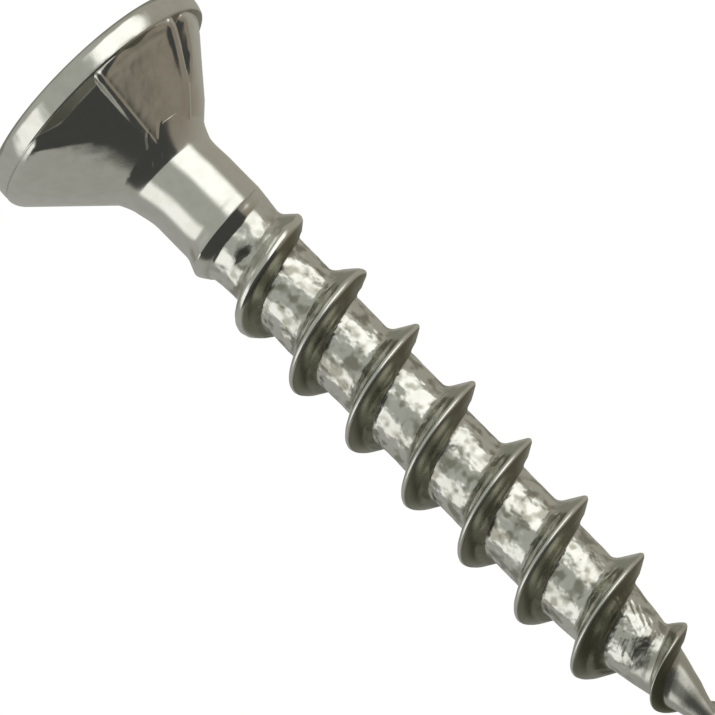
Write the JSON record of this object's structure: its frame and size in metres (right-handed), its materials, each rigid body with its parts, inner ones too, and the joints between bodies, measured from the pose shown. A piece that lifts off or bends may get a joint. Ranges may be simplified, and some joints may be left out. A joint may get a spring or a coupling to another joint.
{
  "type": "flooring screw",
  "caption": "Countersunk wood screw with a coarse thread, a gimlet point, a short plain shank, flats and ribs under the head and a cross recess.",
  "frame": {"origin": "centre of the flat top face of the head, on which the screw stands", "axes": "+Z along the axis from the head to the point; X and Y across it, with the first flank of the thread starting on -X"},
  "size_m": [0.0088, 0.0088, 0.03],
  "materials": {
    "zinc_plate": "bright zinc plate on steel, fairly glossy, with small rolling marks between the turns of the thread"
  },
  "bodies": {
    "root": {"screw": "zinc_plate"}
  },
  "joints": []
}
